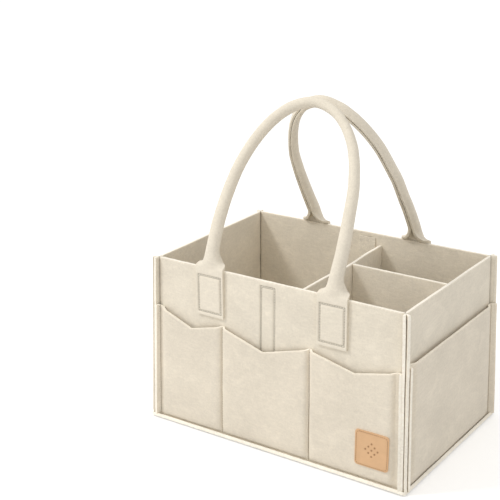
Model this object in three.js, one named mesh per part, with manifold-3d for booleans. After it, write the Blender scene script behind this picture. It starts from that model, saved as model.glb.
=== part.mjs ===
// A felt diaper caddy: a sewn basket with outside pockets, two rolled handles and a lift-out divider.
// Millimetres, +Z up. The origin is the middle of the face that it rests on, the long front faces -Y,
// and +X runs to the right along the front.
import * as THREE from 'three';
import { mergeVertices } from 'three/addons/utils/BufferGeometryUtils.js';
import Module from 'manifold-3d';

const wasm = await Module();
wasm.setup();

const { degToRad, lerp, smoothstep } = THREE.MathUtils;

// The basket: four felt walls whose ends turn out into fins at the corners, on a felt base
const basketWidth = 380; // across the outer faces of the left and right walls
const basketDepth = 250; // across the outer faces of the front and back walls
const basketHeight = 240; // from the ground to the top edge of the walls
const wallFelt = 4;
const finLength = 12; // of the inner face, from the corner to the cut edge
const finTurn = degToRad(52); // out of the wall's own line
const baseFelt = 4.2;
const baseProud = 12; // past the outer faces of the walls
const baseCorner = 4; // radius
const layerGap = 0.3; // between layers that lie on each other

// The pocket panels, each sewn down in the corners and along its inner seams
const pocketFelt = 3;
const pocketBow = 4.3; // how much further out a pocket stands than its seams
const pocketRamp = 5; // from a seam to the full bow
const pocketBelly = 18; // from the base up to the full bow
const seamWidth = 4; // strip that lies flat at an inner seam
const cornerRise = 9; // of the top edge at a full-height corner, above the inner seams
const mouthDip = 20; // of the deepest pocket mouth, below the inner seams
const seamShares = [-0.425, 0.303]; // places of the inner seams, of half the wall's run
const lowShares = [0.54, 0.49, 0.517]; // where each mouth is lowest, of its way from left to right
const dipShares = [0.65, 1, 0.75]; // how deep each mouth dips, of the deepest

// The handles: a felt strip, sewn flat on the wall as a tab, folded, and rolled round a filler cord
const strapFelt = 4;
const strapWidth = 44;
const tabDrop = 67; // from the top edge of the wall down to the end of the tab
const tabToPocket = 10; // from the tab down to the inner seams' top
const foldRise = 2; // of the fold line above the wall's top edge
const foldDown = degToRad(150); // how far out of the upright a handle hangs when it is let down
const frontSpan = 189; // between the middles of the feet
const frontRise = 239.5; // from the fold line to the middle of the crown, along the leaning handle
const frontShift = -5.5; // of the handle's middle, to the right as seen from outside
const frontCrown = 26.2; // from the basket's middle out to the middle of the leaning handle's crown
const backSpan = 164;
const backRise = 250;
const backShift = 7;
const backCrown = 0.5;
const strapFlat = 4; // flat part of the strip above the fold
const curlLength = 24; // over which the flat strip closes into a tube
const tubeRadius = 9.7; // at the foot of the tube
const crownShare = 0.75; // the tube's size at the crown, of its size at the foot
const slitWidth = 1.2; // between the strip's edges, on the inner side of the tube
const cordClearance = 0.6;
// Centreline of an arch: shares of the rise, with the half width there as a share of half the span
const archShares = [
  [0, 1], [0.06, 1], [0.27, 0.995], [0.5, 0.94], [0.62, 0.875], [0.743, 0.767],
  [0.84, 0.635], [0.91, 0.49], [0.965, 0.31], [1, 0],
];

// The divider insert: a main divider with end flaps, held by hook tape to loop tape on the walls
const dividerDrop = 16; // of its top edge below the wall's
const dividerX = 21.5; // middle of the main divider
const crossY = 32; // middle of the cross divider
const endClearance = 0.5; // between a divider's end and the wall
const flapFoot = 50; // height of the flaps' lower edge above the ground
const flapDrop = 29; // of the flaps' upper edge below the dividers'
const flapMargin = 2; // of the flap past the loop tape
const loopWidth = 26;
const loopThick = 1.5;
const loopDrop = 6; // of the loop tape's upper end below the wall's top edge
const loopToFlap = 10; // from the loop tape's lower end up to the flap
const hookWidth = 22;
const hookThick = 1.2;
const hookMargin = 3; // from the hook tape's ends to the flap's edges
const frontLoopInset = 30.5; // from the middle of the main divider to the middle of the tape
const backLoopInset = 21.5;

// The leather patch on the front pocket panel
const patchWidth = 47.5;
const patchHeight = 49;
const patchThick = 1.6;
const patchCorner = 4; // radius
const patchSide = 0.5; // from its right edge to where the pocket bends back to the corner
const patchFoot = 3; // from the top of the pocket's belly up to the patch

// Detail of the rounded forms
const cornerSteps = 4;
const rootSteps = 3; // rings of the rounded end of the strip
const curlSteps = 5; // rings over which the strip curls
const archSteps = 26; // rings of the tube
const sectionSteps = 12; // sides of the tube
const cordSides = 8;
const flatTurn = 0.001; // radians across the strip, as good as flat

// Colours
const wallFinish = { color: 0xe8e0d0, roughness: 0.95 };
const baseFinish = { color: 0xf0e9db, roughness: 0.95 };
const pocketFinish = { color: 0xe4dac9, roughness: 0.95 };
const strapFinish = { color: 0xe6ddcd, roughness: 0.95 };
const dividerFinish = { color: 0xd9cfbe, roughness: 0.95 };
const tapeFinish = { color: 0xd8cdbb, roughness: 0.8 };
const cordFinish = { color: 0xf2efe8, roughness: 0.9 };
const patchFinish = { color: 0xe0b88e, roughness: 0.6 };

// Sizes that follow from the driving ones
const halfWidth = basketWidth / 2 - wallFelt; // inside, from the middle to the left or right wall
const halfDepth = basketDepth / 2 - wallFelt; // inside, from the middle to the front or back wall
const floor = baseFelt + layerGap; // where the walls, pockets and dividers stand
const seamTop = basketHeight - tabDrop - tabToPocket;
const pocketInset = wallFelt + layerGap; // of a sewn layer's inner face, out of the wall's inner face
const pocketFace = pocketInset + pocketBow + pocketFelt;
const cornerRamp = pocketRamp + pocketFace * Math.tan(finTurn / 2);
const foldOffset = pocketInset + strapFelt; // of the fold line, out of the wall's inner face
const foldReach = halfDepth + foldOffset; // from the basket's middle out to a fold line
const frontLean = Math.asin((foldReach - frontCrown) / frontRise);
const backLean = Math.asin((foldReach - backCrown) / backRise);
const strapHalf = strapFelt / 2;
const dividerTop = basketHeight - dividerDrop;
const flapTop = dividerTop - flapDrop;

// A sheet as a grid: stations along it, an outer face 0 and an inner face 1, and levels up it
function sheet(stationCount, levelCount, place) {
  const grid = new THREE.BoxGeometry(1, 1, 1, stationCount - 1, 1, levelCount - 1);
  const position = grid.getAttribute('position');
  for (let i = 0; i < position.count; i += 1) {
    const station = Math.round((position.getX(i) + 1 / 2) * (stationCount - 1));
    const face = Math.round(position.getY(i) + 1 / 2);
    const level = Math.round((position.getZ(i) + 1 / 2) * (levelCount - 1));
    const point = place(station, face, level);
    position.setXYZ(i, point.x, point.y, point.z);
  }
  return grid;
}

function block(low, high) {
  const size = high.clone().sub(low);
  const middle = high.clone().add(low).divideScalar(2);
  return new THREE.BoxGeometry(size.x, size.y, size.z).translate(middle.x, middle.y, middle.z);
}

function roundedSheet(width, height, radius, thickness) {
  const outline = new THREE.Shape();
  const quarter = Math.PI / 2;
  const corners = [[1, 1], [-1, 1], [-1, -1], [1, -1]];
  corners.forEach(([right, up], turn) => {
    const x = right * (width / 2 - radius);
    const y = up * (height / 2 - radius);
    outline.absarc(x, y, radius, turn * quarter, (turn + 1) * quarter, false);
  });
  return new THREE.ExtrudeGeometry(outline, {
    depth: thickness, bevelEnabled: false, curveSegments: cornerSteps,
  });
}

function solidOf(geometry) {
  const bare = geometry.clone();
  bare.deleteAttribute('normal');
  bare.deleteAttribute('uv');
  const merged = mergeVertices(bare);
  return new wasm.Manifold(new wasm.Mesh({
    numProp: 3,
    vertProperties: new Float32Array(merged.getAttribute('position').array),
    triVerts: new Uint32Array(merged.getIndex().array),
  }));
}

function join(first, ...others) {
  const solid = others.reduce((sum, other) => sum.add(solidOf(other)), solidOf(first));
  const mesh = solid.getMesh();
  const geometry = new THREE.BufferGeometry();
  geometry.setAttribute('position', new THREE.BufferAttribute(mesh.vertProperties, 3));
  geometry.setIndex(new THREE.BufferAttribute(mesh.triVerts, 1));
  return geometry;
}

function addPiece(parent, name, geometry, finish) {
  const material = new THREE.MeshStandardMaterial({ ...finish, metalness: 0 });
  const piece = new THREE.Mesh(geometry, material);
  piece.name = name;
  parent.add(piece);
  return piece;
}

// A point of a layer that lies a given offset outside the wall's inner face. A place along the wall
// that is past its straight run lies on the fin.
function layerPoint(halfRun, along, offset) {
  const past = Math.abs(along) - halfRun;
  if (past < 0) return new THREE.Vector2(along, -offset);
  const bendX = halfRun - offset * Math.tan(finTurn / 2);
  const tipX = halfRun + finLength * Math.cos(finTurn) - offset * Math.sin(finTurn);
  const tipY = finLength * Math.sin(finTurn) + offset * Math.cos(finTurn);
  const x = lerp(bendX, tipX, past / finLength);
  const y = lerp(offset, tipY, past / finLength);
  return new THREE.Vector2(Math.sign(along) * x, -y);
}

function makeWall(halfRun) {
  const stations = [-halfRun - finLength, -halfRun, halfRun, halfRun + finLength];
  const levels = [floor, basketHeight];
  return sheet(stations.length, levels.length, (station, face, level) => {
    const point = layerPoint(halfRun, stations[station], face === 0 ? wallFelt : 0);
    return new THREE.Vector3(point.x, point.y, levels[level]);
  });
}

// Straight lines between knots, each a place along the wall and a value there
function between(knots, along) {
  const next = Math.max(1, knots.findIndex(([place]) => place >= along));
  const [placeA, valueA] = knots[next - 1];
  const [placeB, valueB] = knots[next];
  return lerp(valueA, valueB, (along - placeA) / (placeB - placeA));
}

function makePocketPanel(halfRun, seams, topKnots) {
  const tip = halfRun + finLength;
  const full = halfRun - cornerRamp;
  const bowKnots = [[-tip, 0], [-halfRun, 0], [-full, 1]];
  for (const seam of seams) {
    const edge = seamWidth / 2;
    bowKnots.push([seam - edge - pocketRamp, 1], [seam - edge, 0]);
    bowKnots.push([seam + edge, 0], [seam + edge + pocketRamp, 1]);
  }
  bowKnots.push([full, 1], [halfRun, 0], [tip, 0]);
  const places = new Set([...bowKnots, ...topKnots].map(([place]) => place));
  const stations = [...places].sort((a, b) => a - b);
  const levelBows = [0, 1, 1];
  return sheet(stations.length, levelBows.length, (station, face, level) => {
    const along = stations[station];
    const bow = pocketBow * between(bowKnots, along) * levelBows[level];
    const offset = pocketInset + bow + (face === 0 ? pocketFelt : 0);
    const point = layerPoint(halfRun, along, offset);
    const heights = [floor, floor + pocketBelly, between(topKnots, along)];
    return new THREE.Vector3(point.x, point.y, heights[level]);
  });
}

// One wide pocket with a straight mouth
function makeSidePocket(halfRun) {
  const tip = halfRun + finLength;
  const top = seamTop + cornerRise;
  return makePocketPanel(halfRun, [], [[-tip, top], [tip, top]]);
}

// Three pockets with dipped mouths, full height at the left corner only
function makeLongPocket(halfRun) {
  const tip = halfRun + finLength;
  const seams = seamShares.map((share) => share * halfRun);
  const posts = [-halfRun, ...seams, halfRun];
  const cornerTop = seamTop + cornerRise;
  const topKnots = [[-tip, cornerTop], [-halfRun, cornerTop]];
  lowShares.forEach((lowShare, i) => {
    topKnots.push([lerp(posts[i], posts[i + 1], lowShare), seamTop - dipShares[i] * mouthDip]);
    topKnots.push([posts[i + 1], seamTop]);
  });
  topKnots.push([tip, seamTop]);
  return makePocketPanel(halfRun, seams, topKnots);
}

// A tab lies flat on the wall, and its top is bevelled to clear the strap when the handle hangs down
function makeTab() {
  const clear = strapHalf + layerGap;
  const foldZ = basketHeight + foldRise;
  const hang = Math.PI - foldDown;
  const foot = basketHeight - tabDrop;
  const shoulderZ = foldZ - clear * Math.sin(hang);
  const outline = new THREE.Shape([
    new THREE.Vector2(-foldOffset, foot),
    new THREE.Vector2(-pocketInset, foot),
    new THREE.Vector2(-pocketInset, shoulderZ),
    new THREE.Vector2(-foldOffset + clear * Math.cos(hang), shoulderZ),
    new THREE.Vector2(-foldOffset, foldZ - clear / Math.sin(hang)),
  ]);
  const tab = new THREE.ExtrudeGeometry(outline, { depth: strapWidth, bevelEnabled: false });
  const across = new THREE.Vector3(1, 0, 0);
  const inward = new THREE.Vector3(0, 1, 0);
  const up = new THREE.Vector3(0, 0, 1);
  tab.applyMatrix4(new THREE.Matrix4().makeBasis(inward, up, across));
  return tab.translate(-strapWidth / 2, 0, 0);
}

// The centreline of a handle, from its right foot over the crown to its left foot
function makeArch(span, rise) {
  const right = archShares.map(([up, out]) => new THREE.Vector3(out * span / 2, 0, up * rise));
  const left = right.slice(0, -1).reverse().map((point) => new THREE.Vector3(-point.x, 0, point.z));
  return new THREE.CatmullRomCurve3([...right, ...left]);
}

// Distances along the arch of the rings where the tube is closed
function tubeRings(length) {
  const curlEnd = strapFlat + curlLength;
  const rings = [];
  for (let i = 1; i < archSteps; i += 1) rings.push(lerp(curlEnd, length - curlEnd, i / archSteps));
  return rings;
}

// Distances of all the strip's rings, from the rounded end below one foot to the other's
function stripRings(length) {
  const start = [];
  for (let i = 1; i <= rootSteps; i += 1) {
    start.push(-strapHalf * Math.cos((i / (rootSteps + 1)) * (Math.PI / 2)));
  }
  start.push(0);
  for (let i = 0; i <= curlSteps; i += 1) start.push(strapFlat + (i / curlSteps) * curlLength);
  return [...start, ...tubeRings(length), ...start.toReversed().map((distance) => length - distance)];
}

// Where a ring lies: its centre on the arch, the direction across it and how much the tube tapers
function ringFrame(arch, length, distance) {
  const onArch = Math.min(Math.max(distance, 0), length) / length;
  const tangent = arch.getTangentAt(onArch);
  const centre = arch.getPointAt(onArch);
  centre.addScaledVector(tangent, distance - onArch * length);
  const across = new THREE.Vector3(0, 1, 0).cross(tangent);
  const taper = 1 - (1 - crownShare) * Math.sin(Math.PI * onArch);
  return { centre, across, taper };
}

// The strip is flat at its feet and curls inwards into a tube, so a ring is an arc of the felt
function makeSleeve(arch) {
  const length = arch.getLength();
  const rings = stripRings(length).map((distance) => {
    const frame = ringFrame(arch, length, distance);
    const fromFoot = Math.min(distance, length - distance);
    const curl = smoothstep(fromFoot, strapFlat, strapFlat + curlLength);
    const rounded = 2 * Math.sqrt(strapHalf ** 2 - Math.min(fromFoot, 0) ** 2);
    const felt = fromFoot < 0 ? rounded : strapFelt * frame.taper;
    const tube = (tubeRadius - strapHalf) * frame.taper;
    const turn = Math.max(curl * (2 * Math.PI - slitWidth / tube), flatTurn);
    const width = lerp(strapWidth, 2 * Math.PI * tube - slitWidth, curl);
    return { ...frame, felt, turn, radius: width / turn, back: -curl * tube };
  });
  return sheet(sectionSteps + 1, rings.length, (station, face, level) => {
    const ring = rings[level];
    const angle = (station / sectionSteps - 1 / 2) * ring.turn;
    const radius = ring.radius + (face === 0 ? ring.felt : -ring.felt) / 2;
    const point = ring.centre.clone().addScaledVector(ring.across, radius * Math.sin(angle));
    point.y += ring.back + ring.radius - radius * Math.cos(angle);
    return point;
  });
}

// The filler cord lies where the tube is closed
function makeCord(arch) {
  const length = arch.getLength();
  const rings = tubeRings(length).map((distance) => ringFrame(arch, length, distance));
  const cord = new THREE.CylinderGeometry(1, 1, 1, cordSides, rings.length - 1);
  const position = cord.getAttribute('position');
  for (let i = 0; i < position.count; i += 1) {
    const ring = rings[Math.round((position.getY(i) + 1 / 2) * (rings.length - 1))];
    const radius = (tubeRadius - strapFelt - cordClearance) * ring.taper;
    const point = ring.centre.clone().addScaledVector(ring.across, radius * position.getX(i));
    position.setXYZ(i, point.x, point.y - radius * position.getZ(i), point.z);
  }
  return cord;
}

// Everything on one side of the basket is made as seen from outside and turned into place
function addSide(name, turn, reach, halfRun, pocket) {
  const frame = new THREE.Group();
  frame.rotation.z = turn;
  caddy.add(frame);
  const side = new THREE.Group();
  side.position.y = -reach;
  frame.add(side);
  addPiece(side, `${name}_wall`, makeWall(halfRun), wallFinish);
  addPiece(side, `${name}_pocket_panel`, pocket, pocketFinish);
  return side;
}

function addHandle(side, name, { span, rise, shift, lean }, tabNames) {
  tabNames.forEach((tabName, i) => {
    const tab = addPiece(side, tabName, makeTab(), strapFinish);
    tab.position.x = shift + (i === 0 ? -span : span) / 2;
  });
  const handle = new THREE.Group();
  handle.position.set(shift, -foldOffset, basketHeight + foldRise);
  handle.rotation.x = -lean;
  side.add(handle);
  const arch = makeArch(span, rise);
  addPiece(handle, `${name}_sleeve`, makeSleeve(arch), strapFinish);
  addPiece(handle, `${name}_filler_cord`, makeCord(arch), cordFinish);
}

// The tape pair at one end of the main divider, and the flap that carries the hook tape. End is -1 at
// the front and 1 at the back.
function tapeStack(end, inset) {
  const middle = dividerX - inset;
  const loopFace = halfDepth - layerGap - loopThick;
  const hookFace = loopFace - layerGap - hookThick;
  const flapFace = hookFace - layerGap;
  const slab = (left, right, near, far, low, high) => {
    const [y0, y1] = end < 0 ? [-far, -near] : [near, far];
    return block(new THREE.Vector3(left, y0, low), new THREE.Vector3(right, y1, high));
  };
  const loopLeft = middle - loopWidth / 2;
  const hookLeft = middle - hookWidth / 2;
  const loopFoot = flapFoot - loopToFlap;
  return {
    loop: slab(
      loopLeft, loopLeft + loopWidth, loopFace, loopFace + loopThick, loopFoot, basketHeight - loopDrop,
    ),
    hook: slab(
      hookLeft, hookLeft + hookWidth, hookFace, hookFace + hookThick,
      flapFoot + hookMargin, flapTop - hookMargin,
    ),
    flap: slab(loopLeft - flapMargin, dividerX, flapFace - wallFelt, flapFace, flapFoot, flapTop),
  };
}

function makeDividerPanel() {
  const end = halfDepth - endClearance;
  const low = new THREE.Vector3(dividerX - wallFelt / 2, -end, floor);
  return block(low, new THREE.Vector3(dividerX + wallFelt / 2, end, dividerTop));
}

function makeCrossDivider() {
  const left = dividerX + wallFelt / 2 + layerGap;
  const low = new THREE.Vector3(left, crossY - wallFelt / 2, floor);
  return block(low, new THREE.Vector3(halfWidth - endClearance, crossY + wallFelt / 2, dividerTop));
}

const caddy = new THREE.Group();

const baseWidth = basketWidth + 2 * baseProud;
const baseDepth = basketDepth + 2 * baseProud;
addPiece(caddy, 'base_panel', roundedSheet(baseWidth, baseDepth, baseCorner, baseFelt), baseFinish);

const longRun = halfWidth - layerGap;
const shortRun = halfDepth - layerGap;
const quarterTurn = Math.PI / 2;
const front = addSide('front', 0, halfDepth, longRun, makeLongPocket(longRun));
const back = addSide('back', 2 * quarterTurn, halfDepth, longRun, makeLongPocket(longRun));
addSide('right', quarterTurn, halfWidth, shortRun, makeSidePocket(shortRun));
addSide('left', -quarterTurn, halfWidth, shortRun, makeSidePocket(shortRun));

const frontHandle = { span: frontSpan, rise: frontRise, shift: frontShift, lean: frontLean };
addHandle(front, 'front_handle', frontHandle, ['front_left_tab', 'front_right_tab']);
const backHandle = { span: backSpan, rise: backRise, shift: backShift, lean: backLean };
addHandle(back, 'back_handle', backHandle, ['back_right_tab', 'back_left_tab']);

const patch = roundedSheet(patchWidth, patchHeight, patchCorner, patchThick);
const leatherPatch = addPiece(front, 'leather_patch', patch, patchFinish);
leatherPatch.rotation.x = quarterTurn;
leatherPatch.position.set(
  longRun - cornerRamp - patchSide - patchWidth / 2,
  -pocketFace - layerGap,
  floor + pocketBelly + patchFoot + patchHeight / 2,
);

const frontTapes = tapeStack(-1, frontLoopInset);
const backTapes = tapeStack(1, backLoopInset);
addPiece(caddy, 'front_loop_tape', frontTapes.loop, tapeFinish);
addPiece(caddy, 'back_loop_tape', backTapes.loop, tapeFinish);
const mainDivider = join(makeDividerPanel(), frontTapes.flap, backTapes.flap);
addPiece(caddy, 'main_divider', mainDivider, dividerFinish);
addPiece(caddy, 'cross_divider', makeCrossDivider(), dividerFinish);
addPiece(caddy, 'front_hook_tape', frontTapes.hook, tapeFinish);
addPiece(caddy, 'back_hook_tape', backTapes.hook, tapeFinish);

export default caddy;
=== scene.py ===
# A felt diaper caddy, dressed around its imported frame. Metres, +Z up, the long front faces -Y.
import math

import bmesh
import bpy
from mathutils import Matrix, Vector
from mathutils.bvhtree import BVHTree


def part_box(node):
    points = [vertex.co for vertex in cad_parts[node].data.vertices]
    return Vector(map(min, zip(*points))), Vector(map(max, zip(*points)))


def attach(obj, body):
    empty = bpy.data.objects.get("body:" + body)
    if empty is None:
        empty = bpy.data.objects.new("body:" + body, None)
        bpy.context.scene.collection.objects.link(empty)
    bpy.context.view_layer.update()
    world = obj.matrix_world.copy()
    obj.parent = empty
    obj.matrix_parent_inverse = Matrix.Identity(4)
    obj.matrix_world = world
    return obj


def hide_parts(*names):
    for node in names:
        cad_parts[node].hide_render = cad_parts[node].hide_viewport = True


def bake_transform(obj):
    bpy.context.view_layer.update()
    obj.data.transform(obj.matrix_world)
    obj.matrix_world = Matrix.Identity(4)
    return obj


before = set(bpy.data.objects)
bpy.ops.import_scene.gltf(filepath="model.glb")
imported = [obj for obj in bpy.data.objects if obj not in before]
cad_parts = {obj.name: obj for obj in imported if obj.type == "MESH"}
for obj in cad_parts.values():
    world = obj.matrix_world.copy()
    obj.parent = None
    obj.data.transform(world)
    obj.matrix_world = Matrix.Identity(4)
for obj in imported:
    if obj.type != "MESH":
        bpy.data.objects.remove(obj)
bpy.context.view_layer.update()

# The camera: in front and to the right of the caddy, looking down on it by a fifth of a right angle.
# Its place and lens give the photograph's 500 by 500 frame.
photo_pixels = 500
focal_pixels = 1180.38
camera_turn = math.radians(34.76)
camera_rise = math.radians(19.23)
camera_roll = math.radians(-0.64)
camera_reach = 1.6778
camera_aim = Vector((-0.12294, 0, 0.22516))

away = Vector((
    math.sin(camera_turn) * math.cos(camera_rise),
    -math.cos(camera_turn) * math.cos(camera_rise),
    math.sin(camera_rise),
))
level_right = Vector((math.cos(camera_turn), math.sin(camera_turn), 0))
level_up = away.cross(level_right)
rolled_right = level_right * math.cos(camera_roll) + level_up * math.sin(camera_roll)
rolled_up = level_up * math.cos(camera_roll) - level_right * math.sin(camera_roll)
bpy.ops.object.camera_add(
    location=camera_aim + away * camera_reach,
    rotation=Matrix((rolled_right, rolled_up, away)).transposed().to_euler(),
)
camera = bpy.context.object
camera.data.lens = camera.data.sensor_width * focal_pixels / photo_pixels
camera.data.clip_start = 0.05
bpy.context.scene.camera = camera

# The studio: a pale room that lights the felt from all round, and one lamp high in front, to the left.
# The camera and mirrors see the room as plain white.
room_strength = 0.78
room_tint = (1, 0.985, 0.96, 1)
lamp_power = 34
lamp_width = 0.6
lamp_place = Vector((-1.6, -1.5, 2.45))
lamp_aim = Vector((0, 0, 0.2))

bpy.context.scene.view_settings.view_transform = "Standard"
room = bpy.data.worlds.new("pale_room")
bpy.context.scene.world = room
room.use_nodes = True
room_nodes, room_links = room.node_tree.nodes, room.node_tree.links
room_nodes.clear()
room_light = room_nodes.new("ShaderNodeBackground")
room_light.inputs["Color"].default_value = room_tint
room_light.inputs["Strength"].default_value = room_strength
seen_white = room_nodes.new("ShaderNodeBackground")
seen_white.inputs["Color"].default_value = (1, 1, 1, 1)
light_path = room_nodes.new("ShaderNodeLightPath")
seen_or_glossy = room_nodes.new("ShaderNodeMath")
seen_or_glossy.operation = "MAXIMUM"
room_links.new(light_path.outputs["Is Camera Ray"], seen_or_glossy.inputs[0])
room_links.new(light_path.outputs["Is Glossy Ray"], seen_or_glossy.inputs[1])
seen_any = room_nodes.new("ShaderNodeMath")
seen_any.operation = "MAXIMUM"
room_links.new(seen_or_glossy.outputs[0], seen_any.inputs[0])
room_links.new(light_path.outputs["Is Transmission Ray"], seen_any.inputs[1])
room_mix = room_nodes.new("ShaderNodeMixShader")
room_links.new(seen_any.outputs[0], room_mix.inputs["Fac"])
room_links.new(room_light.outputs[0], room_mix.inputs[1])
room_links.new(seen_white.outputs[0], room_mix.inputs[2])
room_out = room_nodes.new("ShaderNodeOutputWorld")
room_links.new(room_mix.outputs[0], room_out.inputs["Surface"])

bpy.ops.object.light_add(
    type="AREA", location=lamp_place,
    rotation=(lamp_place - lamp_aim).to_track_quat("Z", "Y").to_euler(),
)
lamp = bpy.context.object
lamp.data.shape = "DISK"
lamp.data.size = lamp_width
lamp.data.energy = lamp_power
lamp.data.color = (1, 0.985, 0.955)

# The floor: plain and pale. It takes the caddy's shadow and is lifted to white where the camera sees it.
floor_width = 40
floor_pale = (0.88, 0.88, 0.88, 1)
floor_lift = 0.36

bpy.ops.mesh.primitive_plane_add(size=floor_width)
floor = bpy.context.object
floor.name = "studio_floor"
floor_finish = bpy.data.materials.new("floor_paint")
floor_finish.use_nodes = True
floor_nodes, floor_links = floor_finish.node_tree.nodes, floor_finish.node_tree.links
floor_nodes.clear()
floor_matt = floor_nodes.new("ShaderNodeBsdfDiffuse")
floor_matt.inputs["Color"].default_value = floor_pale
floor_glow = floor_nodes.new("ShaderNodeEmission")
floor_path = floor_nodes.new("ShaderNodeLightPath")
floor_seen = floor_nodes.new("ShaderNodeMath")
floor_seen.operation = "MAXIMUM"
floor_links.new(floor_path.outputs["Is Camera Ray"], floor_seen.inputs[0])
floor_links.new(floor_path.outputs["Is Glossy Ray"], floor_seen.inputs[1])
floor_amount = floor_nodes.new("ShaderNodeMath")
floor_amount.operation = "MULTIPLY"
floor_amount.inputs[1].default_value = floor_lift
floor_links.new(floor_seen.outputs[0], floor_amount.inputs[0])
floor_links.new(floor_amount.outputs[0], floor_glow.inputs["Strength"])
floor_sum = floor_nodes.new("ShaderNodeAddShader")
floor_links.new(floor_matt.outputs[0], floor_sum.inputs[0])
floor_links.new(floor_glow.outputs[0], floor_sum.inputs[1])
floor_out = floor_nodes.new("ShaderNodeOutputMaterial")
floor_links.new(floor_sum.outputs[0], floor_out.inputs["Surface"])
floor.data.materials.append(floor_finish)


# The base: a panel of pressed felt under the whole basket. It stands out past the walls all round,
# where it is sewn to their feet, and its cut edge is a little ragged.
def deselect_all():
    bpy.ops.object.select_all(action="DESELECT")


def work_on(piece):
    deselect_all()
    piece.select_set(True)
    bpy.context.view_layer.objects.active = piece


def open_for_edit(piece):
    work_on(piece)
    bpy.ops.object.mode_set(mode="EDIT")


def close_edit():
    bpy.ops.object.mode_set(mode="OBJECT")


def pick(piece, kind, wanted):
    """Selects the verts, edges or faces of a piece in edit mode whose middle is wanted."""
    kinds = ("verts", "edges", "faces")
    bpy.context.tool_settings.mesh_select_mode = [kind == name for name in kinds]
    bpy.ops.mesh.select_all(action="DESELECT")
    mesh = bmesh.from_edit_mesh(piece.data)
    for part in getattr(mesh, kind):
        corners = [part] if kind == "verts" else list(part.verts)
        middle = sum((corner.co for corner in corners), Vector()) / len(corners)
        if wanted(middle):
            part.select_set(True)
    mesh.select_flush_mode()
    bmesh.update_edit_mesh(piece.data)


def apply_all(piece):
    """Applies a piece's modifiers in their order."""
    work_on(piece)
    for modifier in list(piece.modifiers):
        bpy.ops.object.modifier_apply(modifier=modifier.name)


def settle(piece, turn=(0, 0, 0), place=(0, 0, 0)):
    """Turns and moves a piece and puts that into its mesh."""
    work_on(piece)
    piece.rotation_euler = turn
    piece.location = place
    bpy.ops.object.transform_apply(location=True, rotation=True, scale=True)


def cut_sheet(name, width, height, cell, upright_lines=(), level_lines=()):
    """A flat felt sheet, middle at the origin, with mesh lines at the named places across and along it."""
    deselect_all()
    bpy.ops.mesh.primitive_grid_add(
        x_subdivisions=round(width / cell), y_subdivisions=round(height / cell), size=1,
    )
    sheet = bpy.context.object
    sheet.name = name
    sheet.scale = (width, height, 1)
    bpy.ops.object.transform_apply(location=True, rotation=True, scale=True)
    open_for_edit(sheet)
    for places, across in ((upright_lines, (1, 0, 0)), (level_lines, (0, 1, 0))):
        for place in places:
            bpy.ops.mesh.select_all(action="SELECT")
            bpy.ops.mesh.bisect(plane_co=Vector(across) * place, plane_no=across)
    close_edit()
    return sheet


def set_press(sheet, share_at):
    """Notes how thick the felt is at each corner of its sheet, as a share of its full thickness. Where it is
    pressed thinner, its finish gets painted shade.
    """
    press = sheet.vertex_groups.new(name="press")
    groove = sheet.vertex_groups.new(name="groove")
    for corner in sheet.data.vertices:
        share = share_at(corner.co)
        press.add([corner.index], share, "REPLACE")
        groove.add([corner.index], 1 - share, "REPLACE")


def cloud_field(name, reach, depth):
    field = bpy.data.textures.new(name, "CLOUDS")
    field.noise_scale = reach
    field.noise_depth = depth
    return field


def push_by(sheet, field, height):
    """Shifts a surface along its normals by a cloudy field."""
    push = sheet.modifiers.new(field.name, "DISPLACE")
    push.texture = field
    push.texture_coords = "LOCAL"
    push.strength = height
    push.mid_level = 0.5


felt_waves = cloud_field("felt_waves", 0.07, 1)
felt_tufts = cloud_field("felt_tufts", 0.006, 2)


def note_for_finish(sheet, group_name, attribute_name):
    """Passes a vertex group on to the sheet's finish."""
    group = sheet.vertex_groups[group_name].index
    noted = sheet.data.attributes.new(attribute_name, "FLOAT", "POINT")
    for corner in sheet.data.vertices:
        noted.data[corner.index].value = sum(entry.weight for entry in corner.groups if entry.group == group)


def thicken(sheet, felt, softening=0.0006, fine=0.0005):
    """Gives a sheet its thickness, softens its cut edges and roughens it all as felt is. It marks the cut
    edges for a lighter finish with a painted highlight, and passes pressed grooves on for painted shade.
    """
    faces_at = {}
    for face in sheet.data.polygons:
        for edge in face.edge_keys:
            faces_at[edge] = faces_at.get(edge, 0) + 1
    cut = {corner for edge, faces in faces_at.items() if faces == 1 for corner in edge}
    fray = sheet.vertex_groups.new(name="fray")
    for corner in sheet.data.vertices:
        fray.add([corner.index], 1 if corner.index in cut else 0, "REPLACE")
    solidify = sheet.modifiers.new("thickness", "SOLIDIFY")
    solidify.thickness = felt
    solidify.offset = 0
    solidify.use_even_offset = True
    if "press" in sheet.vertex_groups:
        solidify.vertex_group = "press"
    solidify.material_offset_rim = 1
    bevel = sheet.modifiers.new("soft_edges", "BEVEL")
    bevel.limit_method = "ANGLE"
    bevel.angle_limit = math.radians(70)
    bevel.width = softening
    bevel.segments = 2
    smooth = sheet.modifiers.new("finer_mesh", "SUBSURF")
    smooth.levels = smooth.render_levels = 1
    push_by(sheet, felt_tufts, fine)
    apply_all(sheet)
    if "groove" in sheet.vertex_groups:
        note_for_finish(sheet, "groove", "pressed_in_shade")
    note_for_finish(sheet, "fray", "frayed")
    work_on(sheet)
    bpy.ops.object.shade_smooth()


# Painted shade in the felt's pressed grooves, seam creases and valleys, as a share of its colour.
groove_painted_shade = 0.43
# Lighter cut edges: paler cut fibres, plus a painted highlight.
fray_and_highlight = 0.11


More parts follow.
